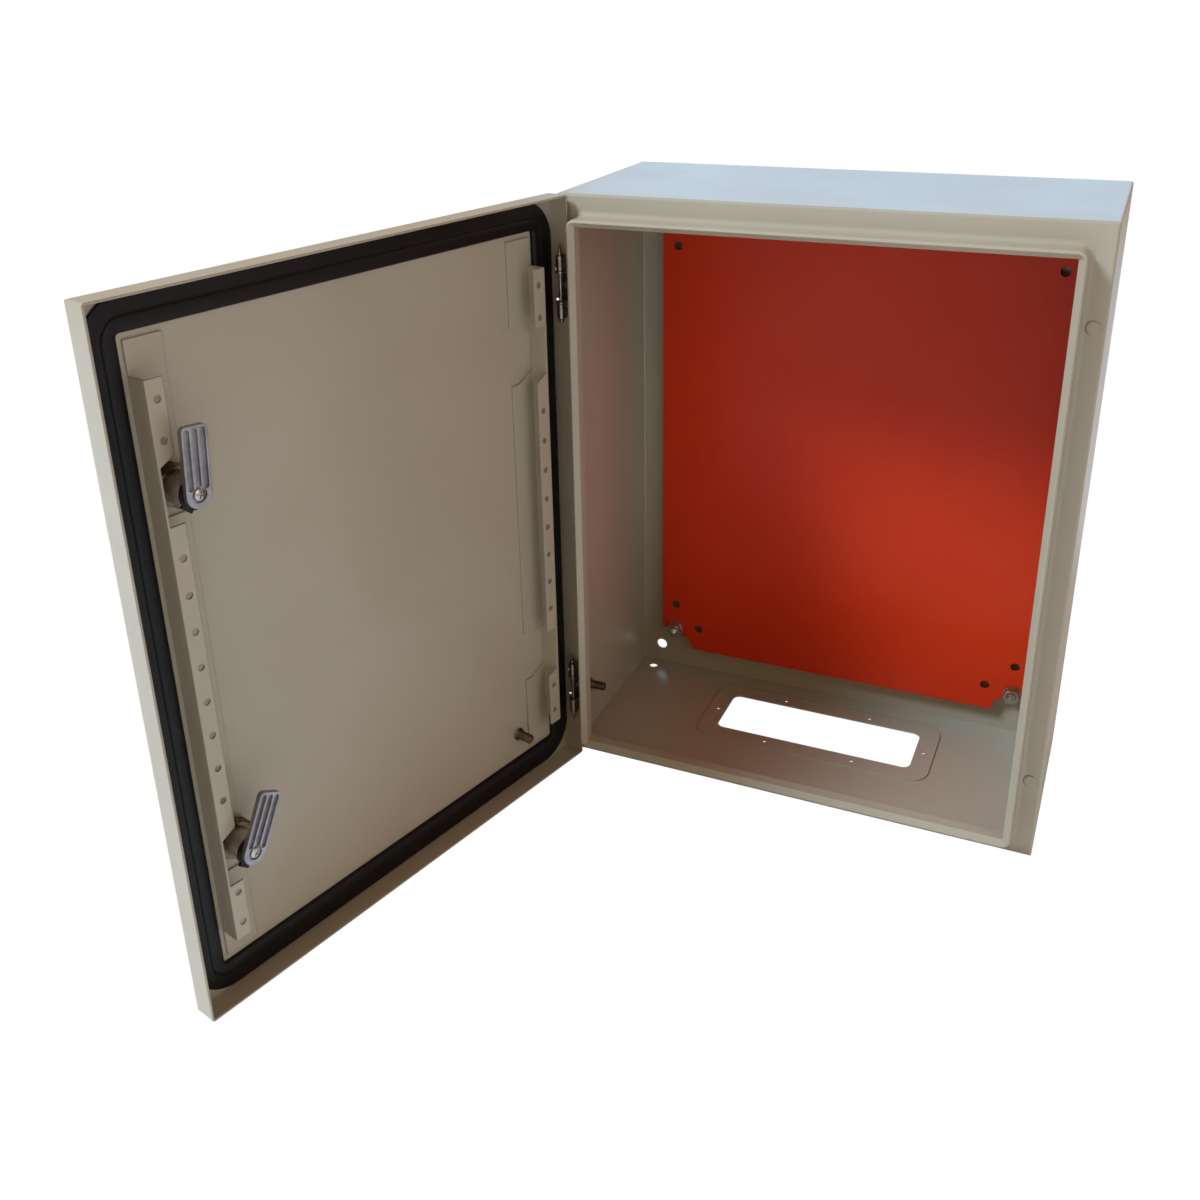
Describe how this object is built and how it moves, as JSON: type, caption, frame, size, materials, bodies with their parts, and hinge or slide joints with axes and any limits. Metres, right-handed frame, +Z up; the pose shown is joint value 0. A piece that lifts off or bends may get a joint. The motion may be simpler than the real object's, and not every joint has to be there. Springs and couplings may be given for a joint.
{
  "type": "wall enclosure",
  "caption": "Shallow steel wall enclosure with an open hinged door, two quarter-turn latches, a gutter rim, a mounting plate and an open cable entry in the floor.",
  "frame": {"origin": "centre of the four wall-fixing holes, on the rear face", "axes": "+X to the right seen from the front, +Y from the front to the wall, +Z up"},
  "size_m": [0.5061, 0.5668, 0.5],
  "materials": {
    "grey_powder_coat": "semi-gloss orange peel",
    "orange_powder_coat": "gloss orange peel",
    "bright_steel": "plated",
    "dark_steel": "satin",
    "latch_nut_steel": "dark plated",
    "die_cast_zinc": "as cast",
    "coppered_steel": "copper plated",
    "gasket_foam": "matt foam",
    "seal_rubber": "matt"
  },
  "bodies": {
    "cabinet": {"rear_wall": "grey_powder_coat", "left_wall": "grey_powder_coat", "right_wall": "grey_powder_coat", "roof": "grey_powder_coat", "cabinet_floor": "grey_powder_coat", "front_left": "grey_powder_coat", "front_right": "grey_powder_coat", "front_top": "grey_powder_coat", "front_bottom": "grey_powder_coat", "mounting_plate": "orange_powder_coat", "plate_studs": "bright_steel", "plate_spacers": "bright_steel", "plate_washers": "bright_steel", "plate_nuts": "bright_steel", "cabinet_earth_stud": "coppered_steel", "flange_plugs": "grey_powder_coat", "upper_hinge_bracket": "bright_steel", "lower_hinge_bracket": "bright_steel", "upper_hinge_pin": "bright_steel", "lower_hinge_pin": "bright_steel", "hinge_screws": "bright_steel"},
    "door": {"door_pan": "grey_powder_coat", "door_gasket": "gasket_foam", "lock_side_rail": "grey_powder_coat", "hinge_side_rail": "grey_powder_coat", "door_earth_stud": "coppered_steel", "upper_hinge_knuckles": "bright_steel", "lower_hinge_knuckles": "bright_steel", "upper_latch_housing": "die_cast_zinc", "lower_latch_housing": "die_cast_zinc", "upper_latch_seal": "seal_rubber", "lower_latch_seal": "seal_rubber", "upper_latch_nut": "latch_nut_steel", "lower_latch_nut": "latch_nut_steel", "upper_stop_plate": "dark_steel", "lower_stop_plate": "dark_steel"},
    "upper_latch": {"upper_latch_rotor": "die_cast_zinc", "upper_tongue": "die_cast_zinc", "upper_tongue_screw": "bright_steel"},
    "lower_latch": {"lower_latch_rotor": "die_cast_zinc", "lower_tongue": "die_cast_zinc", "lower_tongue_screw": "bright_steel"}
  },
  "joints": [
    {"name": "door_hinge", "type": "hinge", "parent": "cabinet", "child": "door", "pos_m": [-0.1935, -0.185, 0], "axis": [0, 0, -1], "range_deg": [-104.5, 13.5]},
    {"name": "upper_latch_turn", "type": "hinge", "parent": "door", "child": "upper_latch", "pos_m": [-0.26878, -0.52601, 0.129], "axis": [0.9681, -0.2504, 0], "range_deg": [-26, 94]},
    {"name": "lower_latch_turn", "type": "hinge", "parent": "door", "child": "lower_latch", "pos_m": [-0.26878, -0.52601, -0.129], "axis": [0.9681, -0.2504, 0], "range_deg": [-3, 117]}
  ]
}
